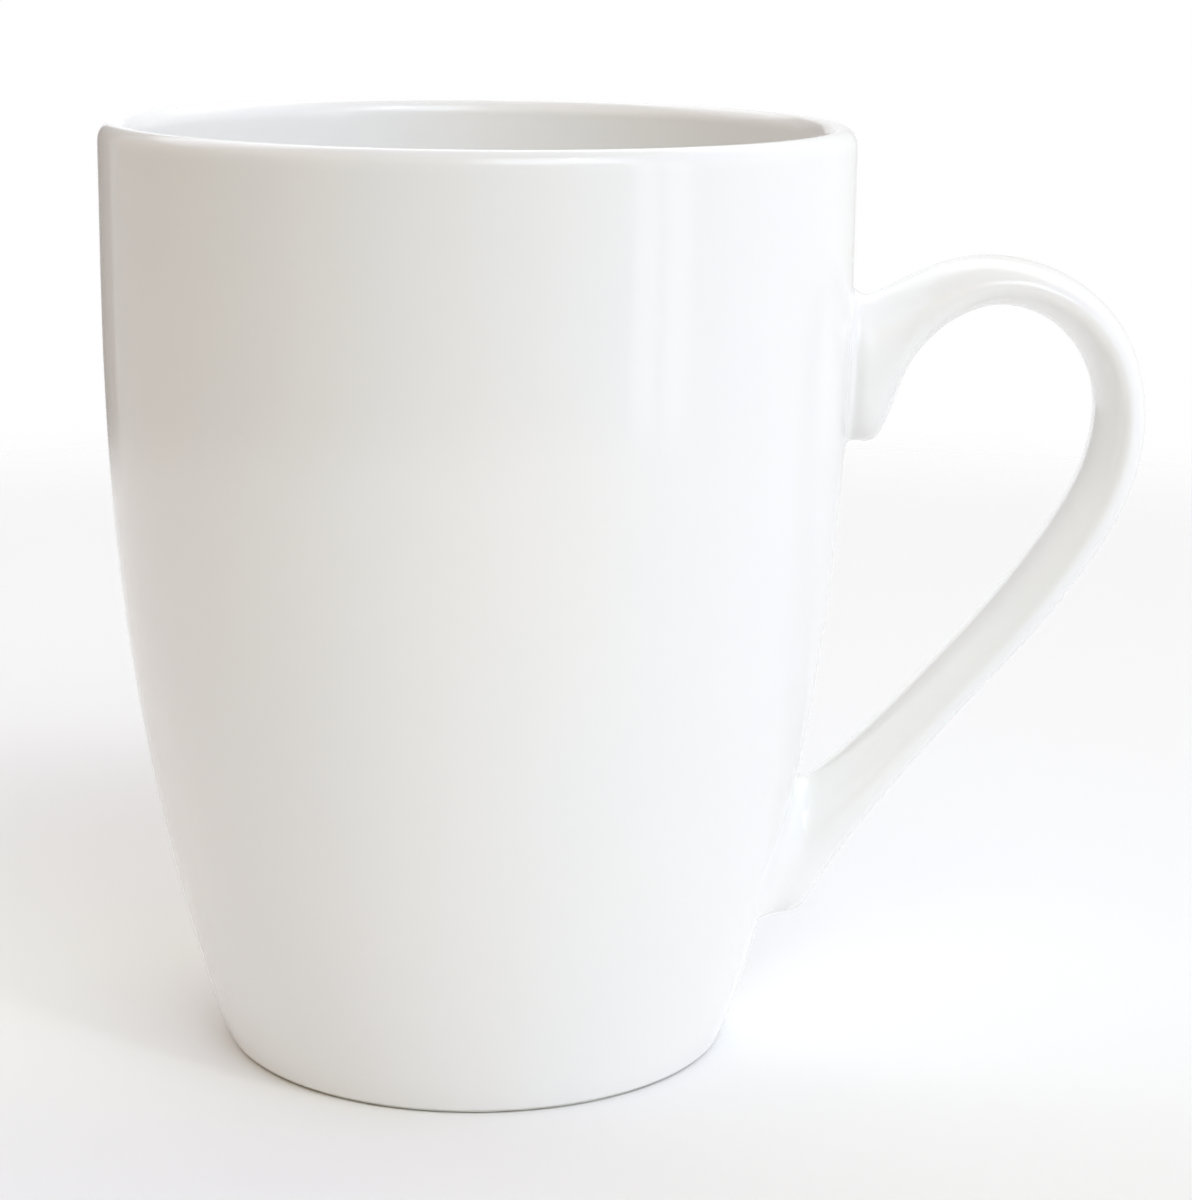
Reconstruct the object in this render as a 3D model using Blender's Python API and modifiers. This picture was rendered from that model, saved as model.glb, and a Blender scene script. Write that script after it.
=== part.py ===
"""Ceramic barrel mug.

A jiggered porcelain cup with its foot ring, a cast strap handle, and the two
thin pads of slip that join the handle's roots to the cup before firing.
Metres, +Z up. The handle points to +X and lies in the plane Y = 0.
"""
import math

import bmesh
import bpy
from mathutils import Vector

MM = 0.001

# Cup: outside
HEIGHT = 104.5 * MM
BELLY_RADIUS = 41.5 * MM
BELLY_HEIGHT = 88.0 * MM        # above this height the side is upright
FOOT_RADIUS = 28.8 * MM
BARREL_POWER = 2.29             # how quickly the side curves in towards the foot
FOOT_EDGE = 0.9 * MM

# Cup: lip, inside and underside
LIP_HALF_WIDTH = 1.6 * MM
LIP_ROUNDING = 2.1 * MM         # height over which the lip rounds over
WALL_THICKENING = 1.6 * MM      # extra wall at the floor, over the wall at the lip
FLOOR_HEIGHT = 6.2 * MM
FLOOR_CORNER = 9.0 * MM
FOOT_BAND = 2.6 * MM            # width of the ring that the cup stands on
RECESS_DEPTH = 2.0 * MM
RECESS_SLOPE = 1.4 * MM

HANDLE_REACH = 75.2 * MM        # from the cup's axis to the strap's furthest point

# Each station is the strap's outer edge (x, z), inner edge (x, z) and half width, in
# millimetres from the cup's axis and the table, from the upper root to the lower one.
STATIONS = [
    ((38.0, 85.2), (38.0, 69.6), 6.6),
    ((42.0, 85.3), (42.0, 69.2), 6.8),
    ((43.8, 85.7), (44.9, 69.0), 6.8),
    ((47.0, 87.3), (46.5, 72.6), 6.6),
    ((50.6, 89.1), (47.6, 77.6), 6.5),
    ((54.4, 90.3), (50.9, 82.4), 6.5),
    ((58.6, 90.5), (56.8, 85.5), 6.5),
    ((64.7, 89.2), (62.6, 84.4), 6.5),
    ((70.5, 85.2), (66.5, 81.4), 6.5),
    ((74.2, 79.4), (69.1, 77.4), 6.5),
    ((75.6, 72.0), (70.0, 72.6), 6.6),
    ((74.3, 63.6), (68.8, 65.6), 6.8),
    ((69.3, 55.0), (64.3, 58.0), 7.0),
    ((62.6, 46.3), (58.4, 50.0), 7.0),
    ((57.2, 40.5), (53.1, 44.1), 7.0),
    ((52.0, 34.5), (47.9, 38.2), 7.0),
    ((47.1, 28.4), (42.8, 33.1), 7.0),
    ((42.8, 22.4), (39.5, 30.3), 7.0),
    ((39.3, 17.0), (38.2, 29.6), 7.0),
    ((37.2, 13.6), (37.4, 29.5), 7.0),
    ((33.2, 12.8), (36.0, 29.6), 7.0),
    ((29.0, 12.8), (33.0, 29.6), 6.8),
]
RING_SIDES = 8
RING_SWELL = 1.108              # smoothing draws an eight-sided ring in by this much

# Slip joints
TOUCH_GAP = 0.3 * MM            # between pieces that touch
SLIP_THICKNESS = 0.8 * MM
SLIP_HEIGHTS = {"upper_slip_joint": (60 * MM, 95 * MM), "lower_slip_joint": (4 * MM, 42 * MM)}

TURNING_STEPS = 64
WALL_POINTS = 14
ROUND_POINTS = 5


def outer_radius(z):
    """Outside radius of the cup at height z."""
    drop = max(0.0, 1.0 - z / BELLY_HEIGHT)
    return BELLY_RADIUS - (BELLY_RADIUS - FOOT_RADIUS) * drop ** BARREL_POWER


def wall_thickness(z):
    """Wall, thickening evenly from the lip down to the floor."""
    return 2 * LIP_HALF_WIDTH + WALL_THICKENING * (1.0 - z / HEIGHT)


def inner_radius(z):
    return outer_radius(z) - wall_thickness(z)


def arc(centre, half_width, half_height, start, end, count):
    """Points (r, z) of an elliptical arc, angles in degrees."""
    points = []
    for i in range(count):
        angle = math.radians(start + (end - start) * i / (count - 1))
        points.append((centre[0] + half_width * math.cos(angle), centre[1] + half_height * math.sin(angle)))
    return points


def spread(start, end, count):
    return [start + (end - start) * i / (count - 1) for i in range(count)]


def cup_profile():
    """Half section, from the floor's centre up the inside, over the lip and down to the underside's centre."""
    corner_top = FLOOR_HEIGHT + FLOOR_CORNER
    corner_radius = inner_radius(corner_top) - FLOOR_CORNER
    lip_base = HEIGHT - LIP_ROUNDING
    lip_centre = (outer_radius(lip_base) - LIP_HALF_WIDTH, lip_base)
    edge_centre = (outer_radius(FOOT_EDGE) - FOOT_EDGE, FOOT_EDGE)
    band_inside = edge_centre[0] - FOOT_BAND

    profile = [(0.0, FLOOR_HEIGHT)]
    profile += arc((corner_radius, corner_top), FLOOR_CORNER, FLOOR_CORNER, -90, 0, ROUND_POINTS + 2)
    profile += [(inner_radius(z), z) for z in spread(corner_top, lip_base, WALL_POINTS)[1:-1]]
    profile += arc(lip_centre, LIP_HALF_WIDTH, LIP_ROUNDING, 180, 0, 2 * ROUND_POINTS - 1)
    profile += [(outer_radius(z), z) for z in spread(lip_base, FOOT_EDGE, WALL_POINTS)[1:-1]]
    profile += arc(edge_centre, FOOT_EDGE, FOOT_EDGE, 0, -90, ROUND_POINTS)
    profile += [(band_inside, 0.0), (band_inside - RECESS_SLOPE, RECESS_DEPTH), (0.0, RECESS_DEPTH)]
    return profile


def wall_offset_profile(inside, outside, low, high):
    """Half section of a shell around the cup, between two distances from its wall."""
    heights = spread(high, low, WALL_POINTS)
    outer = [(outer_radius(z) + outside, z) for z in heights]
    inner = [(outer_radius(z) + inside, z) for z in reversed(heights)]
    return outer + inner + outer[:1]


def material(name, colour, roughness):
    made = bpy.data.materials.new(name)
    made.use_nodes = True
    shader = made.node_tree.nodes["Principled BSDF"]
    shader.inputs["Base Color"].default_value = (*colour, 1.0)
    shader.inputs["Roughness"].default_value = roughness
    shader.inputs["Metallic"].default_value = 0.0
    return made


def add_object(name, mesh, collection, parent):
    obj = bpy.data.objects.new(name, mesh)
    collection.objects.link(obj)
    obj.parent = parent
    return obj


def turned(name, profile, collection, parent):
    """A solid turned about the cup's axis with a Screw modifier."""
    mesh = bpy.data.meshes.new(name)
    edges = [(i, i + 1) for i in range(len(profile) - 1)]
    mesh.from_pydata([(r, 0.0, z) for r, z in profile], edges, [])
    obj = add_object(name, mesh, collection, parent)
    screw = obj.modifiers.new("Turn", "SCREW")
    screw.steps = TURNING_STEPS
    screw.render_steps = TURNING_STEPS
    screw.use_merge_vertices = True
    screw.merge_threshold = 0.01 * MM
    screw.use_smooth_shade = True
    return obj


def hide(obj):
    obj.hide_render = True
    obj.display_type = "WIRE"


def handle_cage():
    """Eight-sided rings along the strap, joined by quads and closed at both ends."""
    cage = bmesh.new()
    rings = []
    for outer, inner, half_width in STATIONS:
        outer_edge = Vector((outer[0], 0.0, outer[1])) * MM
        inner_edge = Vector((inner[0], 0.0, inner[1])) * MM
        middle = (outer_edge + inner_edge) / 2
        arm = (outer_edge - inner_edge) / 2 * RING_SWELL
        side = Vector((0.0, half_width * MM * RING_SWELL, 0.0))
        ring = []
        for k in range(RING_SIDES):
            angle = math.tau * k / RING_SIDES
            ring.append(cage.verts.new(middle + arm * math.cos(angle) + side * math.sin(angle)))
        rings.append(ring)
    for near, far in zip(rings, rings[1:]):
        for k in range(RING_SIDES):
            after = (k + 1) % RING_SIDES
            cage.faces.new((near[k], near[after], far[after], far[k]))
    cage.faces.new(rings[0])
    cage.faces.new(rings[-1])
    bmesh.ops.recalc_face_normals(cage, faces=cage.faces)
    return cage


def strap(name, collection, parent):
    """The handle's soft form, running on into the wall at both roots."""
    mesh = bpy.data.meshes.new(name)
    cage = handle_cage()
    cage.to_mesh(mesh)
    cage.free()
    mesh.shade_smooth()
    obj = add_object(name, mesh, collection, parent)
    smooth = obj.modifiers.new("Smooth", "SUBSURF")
    smooth.levels = 2
    smooth.render_levels = 2
    return obj


def boolean(obj, operation, cutter):
    modifier = obj.modifiers.new(operation.capitalize(), "BOOLEAN")
    modifier.operation = operation
    modifier.object = cutter
    modifier.solver = "EXACT"


def build():
    for old in list(bpy.data.objects):
        bpy.data.objects.remove(old)
    parts = bpy.data.collections.new("ceramic_mug")
    cutters = bpy.data.collections.new("cutters")
    for collection in (parts, cutters):
        bpy.context.scene.collection.children.link(collection)

    # The origin is under the middle of cup and handle together, so the cup's axis stands back from it.
    axis = bpy.data.objects.new("cup_axis", None)
    axis.location.x = (BELLY_RADIUS - HANDLE_REACH) / 2
    parts.objects.link(axis)

    cup = turned("cup_body", cup_profile(), parts, axis)
    cup.data.materials.append(material("cup_glaze", (0.80, 0.79, 0.77), 0.08))

    handle = strap("handle", parts, axis)
    handle.data.materials.append(material("handle_glaze", (0.80, 0.79, 0.77), 0.08))
    root_face = SLIP_THICKNESS + 2 * TOUCH_GAP
    clearance = turned(
        "handle_root_cutter", wall_offset_profile(-20 * MM, root_face, -5 * MM, HEIGHT), cutters, axis
    )
    hide(clearance)
    boolean(handle, "DIFFERENCE", clearance)

    for name, (low, high) in SLIP_HEIGHTS.items():
        pad = strap(name, parts, axis)
        pad.data.materials.append(material(name, (0.78, 0.77, 0.75), 0.12))
        layer = turned(
            name + "_layer",
            wall_offset_profile(TOUCH_GAP, TOUCH_GAP + SLIP_THICKNESS, low, high),
            cutters,
            axis,
        )
        hide(layer)
        boolean(pad, "INTERSECT", layer)


build()
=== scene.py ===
"""A white porcelain barrel mug: turned cup, cast strap handle, and the slip that joins them."""

import math

import bmesh
import bpy
from mathutils import Matrix, Vector


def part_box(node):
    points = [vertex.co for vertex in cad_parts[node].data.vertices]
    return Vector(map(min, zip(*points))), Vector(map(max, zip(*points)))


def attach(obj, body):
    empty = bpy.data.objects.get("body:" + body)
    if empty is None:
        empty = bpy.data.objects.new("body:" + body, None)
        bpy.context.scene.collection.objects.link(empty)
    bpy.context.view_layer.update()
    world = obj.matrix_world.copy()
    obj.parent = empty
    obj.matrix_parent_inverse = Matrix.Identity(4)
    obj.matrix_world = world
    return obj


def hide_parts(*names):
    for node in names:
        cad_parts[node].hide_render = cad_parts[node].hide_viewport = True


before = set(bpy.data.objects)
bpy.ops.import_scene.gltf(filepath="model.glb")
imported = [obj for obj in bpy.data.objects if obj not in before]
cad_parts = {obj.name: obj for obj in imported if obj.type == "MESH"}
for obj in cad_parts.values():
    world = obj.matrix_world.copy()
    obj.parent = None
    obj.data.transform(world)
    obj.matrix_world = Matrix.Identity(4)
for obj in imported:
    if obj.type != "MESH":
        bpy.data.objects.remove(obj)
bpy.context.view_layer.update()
bpy.ops.object.select_all(action="DESELECT")


# ---------------------------------------------------------------------------
# Cup
# A barrel of white porcelain, jiggered in one with its floor and foot ring,
# about 3.2 mm thick at the lip and 4.8 mm at the floor. It is dipped in clear
# glaze, and the foot's face is wiped dry so that it can stand in the kiln.
# ---------------------------------------------------------------------------

MM = 0.001
cup_low, cup_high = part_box("cup_body")
CUP_HEIGHT = cup_high.z
BELLY_RADIUS = (cup_high.y - cup_low.y) / 2
CUP_X = cup_low.x + BELLY_RADIUS
FOOT_RADIUS = 28.8 * MM
BELLY_HEIGHT = 88.0 * MM
BARREL_POWER = 2.29
LIP_HALF_WIDTH = 1.6 * MM
LIP_ROUNDING = 2.1 * MM
WALL_THICKENING = 1.6 * MM
FLOOR_HEIGHT = 6.2 * MM
FLOOR_CORNER = 9.0 * MM
FLOOR_DISH = 0.1 * MM           # how much lower the floor is in its middle
UNDERSIDE_HEIGHT = 2.5 * MM     # how far the underside is hollowed
DISH_RADIUS = 14.0 * MM
POLE_RADIUS = 8.0 * MM          # floor and underside are closed with a grid inside this radius
FOOT_CURVE = (1.2 * MM, 6.0 * MM)       # the turned side just above the foot
LIP_LEAD = 1.0 * MM             # the last ring of each wall lies this far under the lip
DRY_HEIGHT = 0.36 * MM          # the foot is wiped dry below this height,
DRY_BAND = (25.0 * MM, 29.0 * MM)       # between these radii
CUP_SIDES = 64
CUP_SWELL = 1.0016              # smoothing draws a 64-sided ring in by this much
MERGE_WITHIN = 0.001 * MM


def side_radius(z):
    """Outside of the barrel: upright above the belly, curving in towards the foot."""
    drop = max(0.0, 1.0 - z / BELLY_HEIGHT)
    return BELLY_RADIUS - (BELLY_RADIUS - FOOT_RADIUS) * drop ** BARREL_POWER


def inside_radius(z):
    return side_radius(z) - 2 * LIP_HALF_WIDTH - WALL_THICKENING * (1.0 - z / CUP_HEIGHT)


def steps(start, end, count):
    return [start + (end - start) * i / count for i in range(1, count + 1)]


def open_ring(name, sides, radius, height):
    """A loose ring of edges about the cup's axis, left selected in edit mode."""
    bpy.ops.mesh.primitive_circle_add(vertices=sides, radius=radius, location=(CUP_X, 0, height))
    ring = bpy.context.object
    ring.name = name
    ring.data.name = name
    bpy.ops.object.transform_apply(location=True)
    bpy.ops.object.mode_set(mode="EDIT")
    bpy.ops.mesh.select_mode(type="EDGE")
    bpy.ops.mesh.select_all(action="SELECT")
    return ring


def throw_to(here, there):
    """Draws the open ring from one (radius, height) to the next, as a potter pulls a wall."""
    bpy.ops.mesh.extrude_region_move(TRANSFORM_OT_translate={"value": (0, 0, there[1] - here[1])})
    scale = there[0] / here[0]
    bpy.ops.transform.resize(value=(scale, scale, 1), center_override=(CUP_X, 0, there[1]))


def close_with_grid():
    bpy.ops.mesh.fill_grid(span=CUP_SIDES // 4)


def finish_normals():
    bpy.ops.mesh.select_all(action="SELECT")
    bpy.ops.mesh.remove_doubles(threshold=MERGE_WITHIN)
    bpy.ops.mesh.normals_make_consistent(inside=False)
    bpy.ops.object.mode_set(mode="OBJECT")


def apply_subsurf(piece, levels):
    modifier = piece.modifiers.new("Smooth", "SUBSURF")
    modifier.levels = levels
    modifier.render_levels = levels
    bpy.context.view_layer.objects.active = piece
    bpy.ops.object.modifier_apply(modifier=modifier.name)


# Underside and foot ring, from the middle outwards. The glaze stops in a soft
# bead on each side of the dry band.
foot_section = [
    (14.0, 2.4), (19.5, 2.2), (22.6, 2.0), (24.0, 1.8), (24.7, 1.3), (25.05, 0.75), (25.12, 0.5),
    (25.3, 0.42), (25.42, 0.3), (25.6, 0.08), (25.9, 0.0), (26.9, 0.0), (27.9, 0.0), (28.2, 0.05),
    (28.42, 0.2), (28.5, 0.34), (28.66, 0.4), (28.86, 0.6), (28.99, 0.9),
]
foot_section = [(r * MM, z * MM) for r, z in foot_section]
lip_base = CUP_HEIGHT - LIP_ROUNDING
lip_middle = side_radius(lip_base) - LIP_HALF_WIDTH
corner_top = FLOOR_HEIGHT + FLOOR_CORNER
corner_middle = inside_radius(corner_top) - FLOOR_CORNER

section = [(POLE_RADIUS, UNDERSIDE_HEIGHT)] + foot_section
section += [(side_radius(z), z) for z in steps(*FOOT_CURVE, 3)]
section += [(side_radius(z), z) for z in steps(FOOT_CURVE[1], lip_base - LIP_LEAD, 20)]
for i in range(13):
    angle = math.pi * i / 12
    section.append((
        lip_middle + LIP_HALF_WIDTH * math.cos(angle),
        lip_base + LIP_ROUNDING * math.sin(angle),
    ))
section += [(inside_radius(z), z) for z in steps(lip_base - LIP_LEAD, corner_top, 18)]
for angle in steps(0.0, math.pi / 2, 8):
    section.append((
        corner_middle + FLOOR_CORNER * math.cos(angle),
        corner_top - FLOOR_CORNER * math.sin(angle),
    ))
section.append((DISH_RADIUS, FLOOR_HEIGHT - FLOOR_DISH / 2))
section.append((POLE_RADIUS, FLOOR_HEIGHT - FLOOR_DISH))

section = [(radius * CUP_SWELL, height) for radius, height in section]
cup = open_ring("porcelain_cup", CUP_SIDES, *section[0])
close_with_grid()
bpy.ops.mesh.select_all(action="DESELECT")
cup_mesh = bmesh.from_edit_mesh(cup.data)
for edge in cup_mesh.edges:
    edge.select_set(edge.is_boundary)
bmesh.update_edit_mesh(cup.data)
for here, there in zip(section, section[1:]):
    throw_to(here, there)
close_with_grid()
finish_normals()
apply_subsurf(cup, 2)
bpy.ops.object.shade_smooth()


def node(tree, kind, **settings):
    """Adds a node and sets its properties, or its inputs by name."""
    made = tree.nodes.new(kind)
    for key, value in settings.items():
        if hasattr(made, key):
            setattr(made, key, value)
        else:
            made.inputs[key.replace("_", " ")].default_value = value
    return made


def noise(tree, coordinates, scale, detail):
    made = node(tree, "ShaderNodeTexNoise", Scale=scale, Detail=detail)
    tree.links.new(coordinates, made.inputs["Vector"])
    return made.outputs["Fac"]


def ramp(tree, value, low, high, colour_low, colour_high):
    """Maps a value between two limits to a colour between two colours."""
    made = tree.nodes.new("ShaderNodeValToRGB")
    made.color_ramp.elements[0].position = low
    made.color_ramp.elements[1].position = high
    made.color_ramp.elements[0].color = (*colour_low, 1)
    made.color_ramp.elements[1].color = (*colour_high, 1)
    tree.links.new(value, made.inputs["Fac"])
    return made.outputs["Color"]


def bump(tree, height, distance, normal=None):
    made = node(tree, "ShaderNodeBump", Distance=distance)
    tree.links.new(height, made.inputs["Height"])
    if normal is not None:
        tree.links.new(normal, made.inputs["Normal"])
    return made.outputs["Normal"]


COOL_WHITE, WARM_WHITE = (0.915, 0.918, 0.916), (0.928, 0.922, 0.911)
GLAZE_GLOSS = (0.05, 0.11)              # the least and most roughness of its surface
GLAZE_WAVE_DEPTH, GLAZE_PEEL_DEPTH = 0.04 * MM, 0.003 * MM
DRY_DARK, DRY_LIGHT = (0.66, 0.64, 0.60), (0.77, 0.75, 0.71)
DRY_GRAIN_DEPTH = 0.02 * MM


def glaze_material(name):
    """Clear gloss glaze on white porcelain: a drift of colour, soft waves and orange peel."""
    glaze = bpy.data.materials.new(name)
    glaze.use_nodes = True
    tree = glaze.node_tree
    shader = tree.nodes["Principled BSDF"]
    place = tree.nodes.new("ShaderNodeTexCoord").outputs["Object"]

    drift = ramp(tree, noise(tree, place, 30.0, 3.0), 0.35, 0.65, COOL_WHITE, WARM_WHITE)
    tree.links.new(drift, shader.inputs["Base Color"])
    smooth, rough = ((gloss,) * 3 for gloss in GLAZE_GLOSS)
    polish = ramp(tree, noise(tree, place, 140.0, 4.0), 0.3, 0.7, smooth, rough)
    tree.links.new(polish, shader.inputs["Roughness"])
    shader.inputs["IOR"].default_value = 1.5

    waves = bump(tree, noise(tree, place, 55.0, 1.0), GLAZE_WAVE_DEPTH)
    peel = bump(tree, noise(tree, place, 700.0, 2.0), GLAZE_PEEL_DEPTH, waves)
    tree.links.new(peel, shader.inputs["Normal"])
    return glaze


def dry_clay_material():
    """Fired porcelain with no glaze: matt, a little warmer, with a fine sandy grain."""
    clay = bpy.data.materials.new("dry_foot")
    clay.use_nodes = True
    tree = clay.node_tree
    shader = tree.nodes["Principled BSDF"]
    place = tree.nodes.new("ShaderNodeTexCoord").outputs["Object"]
    tone = ramp(tree, noise(tree, place, 400.0, 5.0), 0.3, 0.7, DRY_DARK, DRY_LIGHT)
    tree.links.new(tone, shader.inputs["Base Color"])
    shader.inputs["Roughness"].default_value = 0.75
    grain = bump(tree, noise(tree, place, 2500.0, 3.0), DRY_GRAIN_DEPTH)
    tree.links.new(grain, shader.inputs["Normal"])
    return clay


cup.data.materials.append(glaze_material("cup_glaze"))
cup.data.materials.append(dry_clay_material())
for face in cup.data.polygons:
    radius = math.hypot(face.center.x - CUP_X, face.center.y)
    dry = face.center.z < DRY_HEIGHT and DRY_BAND[0] < radius < DRY_BAND[1]
    face.material_index = 1 if dry else 0
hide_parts("cup_body")
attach(cup, "root")


# ---------------------------------------------------------------------------
# Handle
# A strap cast in a two-part mould, oval in section with a soft ridge along each
# side of its inner face. It ends in a tongue above and a broad foot below, and
# both are cut to the curve of the barrel.
# ---------------------------------------------------------------------------

# The strap's outer edge (x, z), inner edge (x, z) and half width at each station, in
# millimetres from the cup's axis and the table, from the upper root to the lower one.
STRAP = [
    ((47.0, 87.3), (46.2, 72.8), 6.6),
    ((50.6, 89.1), (47.3, 77.7), 6.5),
    ((54.4, 90.2), (51.0, 82.3), 6.5),
    ((58.6, 90.4), (56.8, 85.4), 6.5),
    ((64.7, 89.1), (62.6, 84.3), 6.5),
    ((70.5, 85.2), (66.5, 81.4), 6.5),
    ((74.2, 79.4), (69.1, 77.4), 6.5),
    ((75.55, 72.0), (70.0, 72.6), 6.6),
    ((74.3, 63.6), (68.8, 65.6), 6.8),
    ((69.3, 55.0), (64.3, 58.0), 7.0),
    ((62.6, 46.3), (58.4, 50.0), 7.0),
    ((57.2, 40.5), (53.1, 44.1), 7.0),
    ((52.0, 34.5), (47.9, 38.2), 7.0),
    ((47.1, 28.4), (42.8, 33.1), 7.0),
    ((42.65, 22.5), (39.5, 30.3), 7.0),
    ((39.15, 17.1), (38.2, 29.6), 7.1),
]
RIDGE_SHARPNESS = [0.0, 0.75, 0.7, 0.6, 0.45, 0.3, 0.2]    # along the first stations
RIDGE_PLACE = -0.383                    # of the half depth, towards the inner face
RIDGE_WIDTH = 0.1
# Rings of each root from the strap to the wall: how far off the wall at its top, sides
# and foot, and how far it stands out beyond the outline at its top, sides and foot.
UPPER_ROOT = [
    (2.30, 2.95, 3.60, 0.3, 0.0, -0.3),
    (1.60, 1.80, 1.90, 0.4, 0.1, -0.3),
    (0.90, 0.95, 0.90, 0.7, -0.6, -0.4),
    (0.30, 0.50, 0.30, 1.2, -0.4, -0.2),
    (0.10, 0.25, 0.12, 2.1, 0.5, 0.3),
    (0.00, 0.11, 0.04, 3.0, 1.9, 0.7),
    (-0.30, -0.10, -0.20, 3.4, 3.3, 0.9),
]
LOWER_ROOT = [
    (1.30, 2.90, 4.50, 0.0, 0.4, -1.6),
    (0.90, 1.85, 2.60, 0.0, 1.0, -1.6),
    (0.45, 1.15, 1.10, 0.1, 2.0, -1.5),
    (0.18, 0.64, 0.45, 0.3, 3.4, -1.5),
    (0.06, 0.33, 0.10, 0.7, 5.0, -1.6),
    (-0.05, 0.14, -0.10, 1.3, 6.9, -1.9),
    (-0.30, -0.04, -0.30, 1.5, 9.0, -2.2),
]
SEAM_RING = 2                           # the strap ends here, and the slip begins
UPPER_HALF = (50.0 * MM, 100.0 * MM)    # the heights between which the upper root lies
UPPER_OUTLINE = (85.4, 69.2, 6.8)       # its top, its foot and its half width
LOWER_OUTLINE = (29.8, 12.9, 7.0)
FOOT_SQUARENESS = 0.62                  # the lower half of a root is a squared oval
STRAP_SIDES = 16
STRAP_SWELL = 1.026                     # smoothing draws a 16-sided ring in by this much
FIRST_ANGLE = 0.1                       # a ring is counted round from just below its side


def ring_place(station):
    """Centre, half depth, half width and tilt of one ring of the strap."""
    (outer_x, outer_z), (inner_x, inner_z), half_width = station
    centre = Vector((CUP_X + (outer_x + inner_x) / 2 * MM, 0, (outer_z + inner_z) / 2 * MM))
    half_depth = math.hypot(outer_x - inner_x, outer_z - inner_z) / 2 * MM * STRAP_SWELL
    tilt = math.atan2(outer_z - inner_z, outer_x - inner_x)
    return centre, half_depth, half_width * MM * STRAP_SWELL, tilt


def tilt_ring(angle, centre):
    bpy.ops.transform.rotate(value=angle, orient_axis="Y", center_override=centre)


def stretch_ring(depth, width, centre):
    bpy.ops.transform.resize(value=(depth, width, 1), center_override=centre)


def sharpen_ridge(centre, half_depth, tilt, sharpness):
    """Tightens the edge that runs from the last ring to this one along each inner shoulder."""
    mesh = bmesh.from_edit_mesh(bpy.context.object.data)
    layers = mesh.edges.layers.float
    crease = layers.get("crease_edge") or layers.new("crease_edge")
    outward = Vector((math.cos(tilt), 0, math.sin(tilt)))
    for v in mesh.verts:
        if v.select and abs((v.co - centre).dot(outward) / half_depth - RIDGE_PLACE) < RIDGE_WIDTH:
            for edge in v.link_edges:
                if not edge.other_vert(v).select:
                    edge[crease] = sharpness
    bmesh.update_edit_mesh(bpy.context.object.data)


def press_on_wall(outline, ring, part):
    """Shapes the selected ring to an outline that lies just off the barrel's wall."""
    top, foot, half_width = outline
    lift_top, lift_side, lift_foot, out_top, out_side, out_foot = ring
    mesh = bmesh.from_edit_mesh(bpy.context.object.data)
    verts = [v for v in mesh.verts if v.select]
    middle = sum(v.co.z for v in verts) / len(verts)
    verts.sort(key=lambda v: (math.atan2(v.co.z - middle, v.co.y) + FIRST_ANGLE) % (2 * math.pi))
    for i, v in enumerate(verts):
        side = math.cos(2 * math.pi * i / STRAP_SIDES)
        up = math.sin(2 * math.pi * i / STRAP_SIDES)
        lift_end, out_end = lift_top, out_top
        if up < 0:
            lift_end, out_end = lift_foot, out_foot
            side = math.copysign(abs(side) ** FOOT_SQUARENESS, side)
            up = -abs(up) ** FOOT_SQUARENESS
        lift = lift_side + (lift_end - lift_side) * abs(up)
        z = ((top + foot) / 2 + up * ((top - foot) / 2 * STRAP_SWELL + out_end)) * MM
        y = side * (half_width * STRAP_SWELL + out_side) * MM
        v.co = (CUP_X + math.sqrt(side_radius(z) ** 2 - y * y) + lift * MM, y, z)
        for face in v.link_faces:
            face.material_index = part
    bmesh.update_edit_mesh(bpy.context.object.data)


def draw_root(outline, rings):
    """Draws the open end of the strap on to the wall; past the seam it is slip."""
    for i, ring in enumerate(rings):
        bpy.ops.mesh.extrude_region_move(TRANSFORM_OT_translate={"value": (-0.1 * MM, 0, 0)})
        press_on_wall(outline, ring, 1 if i > SEAM_RING else 0)


def select_open_ring(low, high):
    """Selects the open edges between two heights."""
    bpy.ops.mesh.select_all(action="DESELECT")
    mesh = bmesh.from_edit_mesh(bpy.context.object.data)
    for edge in mesh.edges:
        edge.select_set(edge.is_boundary and all(low < v.co.z < high for v in edge.verts))
    bmesh.update_edit_mesh(bpy.context.object.data)


def close_ends(piece):
    """Closes a piece's cut ends, with a sharp rim round each so that its skin shades evenly."""
    bpy.ops.object.select_all(action="DESELECT")
    bpy.context.view_layer.objects.active = piece
    piece.select_set(True)
    bpy.ops.object.mode_set(mode="EDIT")
    bpy.ops.mesh.select_all(action="DESELECT")
    mesh = bmesh.from_edit_mesh(piece.data)
    for edge in mesh.edges:
        if edge.is_boundary:
            edge.smooth = False
    bmesh.update_edit_mesh(piece.data)
    bpy.ops.mesh.select_all(action="SELECT")
    bpy.ops.mesh.fill_holes(sides=0)
    finish_normals()


bpy.ops.object.select_all(action="DESELECT")
centre, half_depth, half_width, tilt = ring_place(STRAP[0])
bpy.ops.mesh.primitive_circle_add(vertices=STRAP_SIDES, radius=1 * MM, location=centre)
handle = bpy.context.object
bpy.ops.object.transform_apply(location=True)
bpy.ops.object.mode_set(mode="EDIT")
bpy.ops.mesh.select_mode(type="EDGE")
bpy.ops.mesh.select_all(action="SELECT")
stretch_ring(half_depth / MM, half_width / MM, centre)
tilt_ring(tilt, centre)
for i, station in enumerate(STRAP[1:], start=1):
    last_centre, last_depth, last_width, last_tilt = centre, half_depth, half_width, tilt
    centre, half_depth, half_width, tilt = ring_place(station)
    bpy.ops.mesh.extrude_region_move(TRANSFORM_OT_translate={"value": centre - last_centre})
    tilt_ring(-last_tilt, centre)
    stretch_ring(half_depth / last_depth, half_width / last_width, centre)
    tilt_ring(tilt, centre)
    if i < len(RIDGE_SHARPNESS):
        sharpen_ridge(centre, half_depth, tilt, RIDGE_SHARPNESS[i])
draw_root(LOWER_OUTLINE, LOWER_ROOT)
select_open_ring(*UPPER_HALF)
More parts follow.
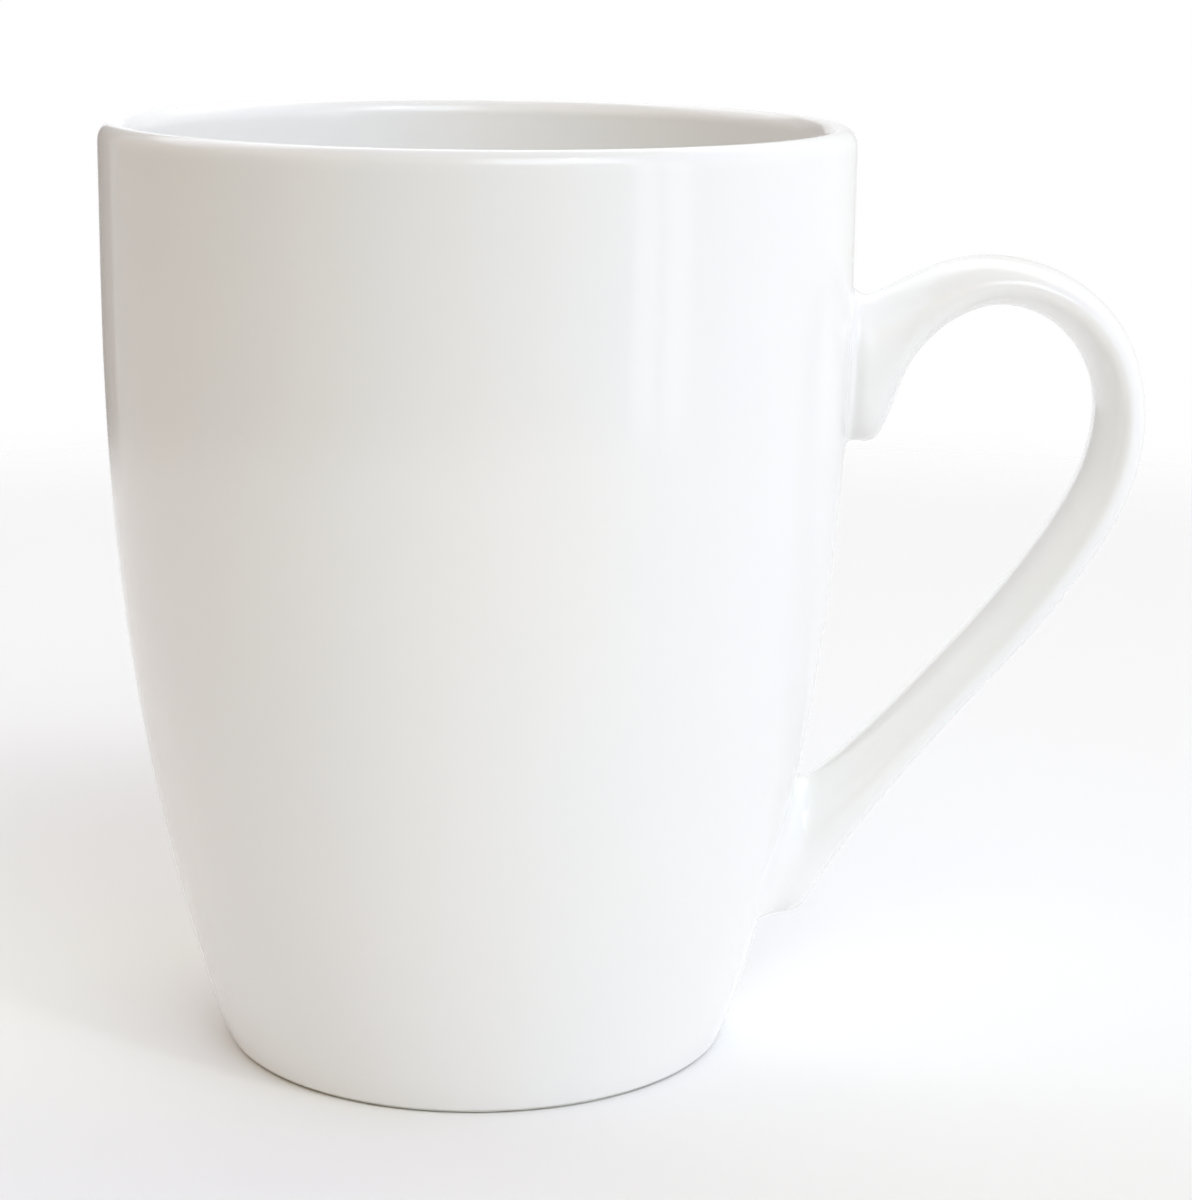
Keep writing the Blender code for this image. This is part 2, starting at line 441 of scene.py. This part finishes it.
draw_root(UPPER_OUTLINE, UPPER_ROOT)
finish_normals()
handle.data.materials.append(glaze_material("handle_glaze"))
handle.data.materials.append(glaze_material("slip_glaze"))
apply_subsurf(handle, 3)
bpy.ops.object.shade_smooth()

# The strap and the slip were drawn as one skin, so that they meet evenly; here they part.
bpy.ops.object.mode_set(mode="EDIT")
bpy.ops.mesh.separate(type="MATERIAL")
bpy.ops.object.mode_set(mode="OBJECT")
handle, slip = sorted(bpy.context.selected_objects, key=lambda part: -len(part.data.polygons))
slip.name = slip.data.name = "slip"
handle.name = handle.data.name = "porcelain_handle"
close_ends(handle)
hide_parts("handle")
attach(handle, "root")

bpy.ops.object.select_all(action="DESELECT")
bpy.context.view_layer.objects.active = slip
slip.select_set(True)
bpy.ops.object.mode_set(mode="EDIT")
bpy.ops.mesh.separate(type="LOOSE")
bpy.ops.object.mode_set(mode="OBJECT")
lower_slip, upper_slip = sorted(
    bpy.context.selected_objects, key=lambda part: min(v.co.z for v in part.data.vertices)
)


# ---------------------------------------------------------------------------
# Upper slip joint
# Liquid clay between the tongue and the wall, squeezed out as the two were pressed
# together and wiped with a sponge, so that it leaves a shallow neck round the tongue.
# ---------------------------------------------------------------------------

upper_slip.name = "upper_slip"
upper_slip.data.name = "upper_slip"
close_ends(upper_slip)
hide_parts("upper_slip_joint")
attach(upper_slip, "root")


# ---------------------------------------------------------------------------
# Lower slip joint
# The same clay under the broad foot of the strap, spread wide on both sides of it
# and wiped almost flush below.
# ---------------------------------------------------------------------------

lower_slip.name = "lower_slip"
lower_slip.data.name = "lower_slip"
close_ends(lower_slip)
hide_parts("lower_slip_joint")
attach(lower_slip, "root")


# ---------------------------------------------------------------------------
# Studio
# A white table that fades into a white wall of light, windows above and to the
# right, and a dimmer warm room on the left. None of it is part of the mug.
# ---------------------------------------------------------------------------

TABLE_RADIUS = 0.5
TABLE_CLEAR_FROM, TABLE_CLEAR_AT = 0.30, 0.44      # metres from the mug
CARD_WHITE = (0.91, 0.91, 0.91, 1)

bpy.ops.mesh.primitive_circle_add(
    vertices=96, radius=TABLE_RADIUS, fill_type="NGON", location=(0, 0, 0)
)
table = bpy.context.object
table.name = "table_top"
white_card = bpy.data.materials.new("white_card")
white_card.use_nodes = True
tree = white_card.node_tree
tree.nodes.clear()
card = node(tree, "ShaderNodeBsdfDiffuse", Color=CARD_WHITE)
clear = tree.nodes.new("ShaderNodeBsdfTransparent")
distance = node(tree, "ShaderNodeVectorMath", operation="LENGTH")
tree.links.new(tree.nodes.new("ShaderNodeTexCoord").outputs["Object"], distance.inputs[0])
fade = node(tree, "ShaderNodeMapRange", interpolation_type="SMOOTHSTEP")
fade.inputs["From Min"].default_value = TABLE_CLEAR_FROM
fade.inputs["From Max"].default_value = TABLE_CLEAR_AT
tree.links.new(distance.outputs["Value"], fade.inputs["Value"])
card_edge = tree.nodes.new("ShaderNodeMixShader")
tree.links.new(fade.outputs["Result"], card_edge.inputs["Fac"])
tree.links.new(card.outputs[0], card_edge.inputs[1])
tree.links.new(clear.outputs[0], card_edge.inputs[2])
tree.links.new(card_edge.outputs[0], tree.nodes.new("ShaderNodeOutputMaterial").inputs["Surface"])
table.data.materials.append(white_card)

# The room's light around the mug, by bearing in degrees from the camera (right is plus):
# its walls, and the windows above them. The ceiling overhead is dim.
WALLS = [
    (-180, (1.35, 1.37, 1.40)),
    (-167, (1.35, 1.37, 1.40)),
    (-164, (0.42, 0.38, 0.36)),
    (-145, (0.42, 0.38, 0.36)),
    (-142, (0.78, 0.76, 0.76)),
    (-124, (0.72, 0.70, 0.70)),
    (-100, (0.52, 0.46, 0.44)),
    (-80, (0.34, 0.27, 0.18)),
    (-77, (0.24, 0.16, 0.06)),
    (-35, (0.24, 0.17, 0.07)),
    (-5, (0.32, 0.29, 0.20)),
    (20, (0.58, 0.59, 0.57)),
    (45, (0.84, 0.88, 0.93)),
    (47, (2.20, 2.30, 2.44)),
    (53, (2.20, 2.30, 2.44)),
    (54, (1.20, 1.24, 1.30)),
    (56, (1.20, 1.24, 1.30)),
    (57, (2.20, 2.30, 2.44)),
    (64, (2.20, 2.30, 2.44)),
    (66, (1.06, 1.10, 1.16)),
    (100, (1.16, 1.18, 1.20)),
    (135, (1.30, 1.30, 1.22)),
    (168, (1.00, 1.00, 0.98)),
    (180, (1.35, 1.37, 1.40)),
]
WINDOWS = [
    (-180, (2.35, 2.38, 2.40)),
    (-122, (2.20, 2.30, 2.60)),
    (-98, (1.00, 0.74, 0.60)),
    (-8, (1.20, 0.94, 0.50)),
    (10, (4.30, 4.75, 5.10)),
    (42, (4.30, 4.75, 5.10)),
    (60, (1.00, 0.92, 1.40)),
    (100, (1.00, 0.92, 1.40)),
    (122, (2.40, 2.42, 1.90)),
    (180, (2.35, 2.38, 2.40)),
]
WINDOWS_FROM, WINDOWS_FULL = 0.46, 0.60     # radians above the level
CEILING_FROM, CEILING_FULL = 0.95, 1.12
CEILING = (0.40, 0.41, 0.44, 1)
ROOM_STRENGTH = 0.775

sky = bpy.data.worlds.new("soft_room")
bpy.context.scene.world = sky
sky.use_nodes = True
tree = sky.node_tree
tree.nodes.clear()
axes = tree.nodes.new("ShaderNodeSeparateXYZ")
tree.links.new(tree.nodes.new("ShaderNodeTexCoord").outputs["Generated"], axes.inputs[0])
ahead = node(tree, "ShaderNodeMath", operation="MULTIPLY")
ahead.inputs[1].default_value = -1.0
tree.links.new(axes.outputs["Y"], ahead.inputs[0])
bearing = node(tree, "ShaderNodeMath", operation="ARCTAN2")
tree.links.new(axes.outputs["X"], bearing.inputs[0])
tree.links.new(ahead.outputs[0], bearing.inputs[1])
turn = node(tree, "ShaderNodeMath", operation="MULTIPLY_ADD")
turn.inputs[1].default_value = 0.5 / math.pi
turn.inputs[2].default_value = 0.5
tree.links.new(bearing.outputs[0], turn.inputs[0])
height = node(tree, "ShaderNodeMath", operation="ARCSINE")
tree.links.new(axes.outputs["Z"], height.inputs[0])


def band(stops):
    """The light of one band of the room, all the way round."""
    around = tree.nodes.new("ShaderNodeValToRGB")
    for _ in stops[2:]:
        around.color_ramp.elements.new(0.5)
    for stop, (degrees, colour) in zip(around.color_ramp.elements, stops):
        stop.position = degrees / 360 + 0.5
    for stop, (degrees, colour) in zip(around.color_ramp.elements, stops):
        stop.color = (*colour, 1)
    tree.links.new(turn.outputs[0], around.inputs["Fac"])
    return around.outputs["Color"]


def above(low, high, below_colour):
    """Mixes from one band to the next between two heights."""
    rise = node(tree, "ShaderNodeMapRange", interpolation_type="SMOOTHSTEP")
    rise.inputs["From Min"].default_value = low
    rise.inputs["From Max"].default_value = high
    tree.links.new(height.outputs[0], rise.inputs["Value"])
    blend = node(tree, "ShaderNodeMix", data_type="RGBA")
    tree.links.new(rise.outputs["Result"], blend.inputs["Factor"])
    tree.links.new(below_colour, blend.inputs[6])
    return blend


lower = above(WINDOWS_FROM, WINDOWS_FULL, band(WALLS))
tree.links.new(band(WINDOWS), lower.inputs[7])
upper = above(CEILING_FROM, CEILING_FULL, lower.outputs[2])
upper.inputs[7].default_value = CEILING
room = node(tree, "ShaderNodeBackground", Strength=ROOM_STRENGTH)
tree.links.new(upper.outputs[2], room.inputs["Color"])
backdrop = node(tree, "ShaderNodeBackground", Color=(1, 1, 1, 1), Strength=1.0)
seen = tree.nodes.new("ShaderNodeMixShader")
tree.links.new(tree.nodes.new("ShaderNodeLightPath").outputs["Is Camera Ray"], seen.inputs["Fac"])
tree.links.new(room.outputs[0], seen.inputs[1])
tree.links.new(backdrop.outputs[0], seen.inputs[2])
tree.links.new(seen.outputs[0], tree.nodes.new("ShaderNodeOutputWorld").inputs["Surface"])

# One bare pane of the front window: it draws the thin lights on the lip and the ridge.
PANE_BEARING, PANE_HEIGHT, PANE_REACH = math.radians(36), math.radians(48), 1.5
PANE_SIZE = (0.06, 0.20)
PANE_POWER = 1.5
PANE_COLOUR = (1.0, 0.98, 0.90)
MUG_MIDDLE = Vector((CUP_X, 0, 0.08))
pane = bpy.data.lights.new("window_pane", "AREA")
pane.shape = "RECTANGLE"
pane.size, pane.size_y = PANE_SIZE
pane.energy = PANE_POWER
pane.color = PANE_COLOUR
pane_holder = bpy.data.objects.new("window_pane", pane)
pane_way = Vector((
    math.cos(PANE_HEIGHT) * math.sin(PANE_BEARING),
    -math.cos(PANE_HEIGHT) * math.cos(PANE_BEARING),
    math.sin(PANE_HEIGHT),
))
pane_holder.location = MUG_MIDDLE + PANE_REACH * pane_way
pane_holder.rotation_euler = pane_way.to_track_quat("Z", "Y").to_euler()
pane_holder.visible_camera = False
bpy.context.scene.collection.objects.link(pane_holder)

CAMERA_PLACE = (CUP_X, -0.33045, 0.12695)
YAW, PITCH, ROLL = 0.0408, 0.2269, 0.0124
FOCAL_LENGTH, FILM_WIDTH = 89.3, 36.0   # millimetres
lens = bpy.data.cameras.new("camera")
lens.lens = FOCAL_LENGTH
lens.sensor_width = FILM_WIDTH
lens.sensor_fit = "AUTO"
lens.clip_start = 0.01
camera = bpy.data.objects.new("camera", lens)
camera.matrix_world = (
    Matrix.Translation(CAMERA_PLACE)
    @ Matrix.Rotation(-YAW, 4, "Z")
    @ Matrix.Rotation(math.pi / 2 - PITCH, 4, "X")
    @ Matrix.Rotation(ROLL, 4, "Z")
)
bpy.context.scene.collection.objects.link(camera)
bpy.context.scene.camera = camera
bpy.context.scene.view_settings.view_transform = "Standard"
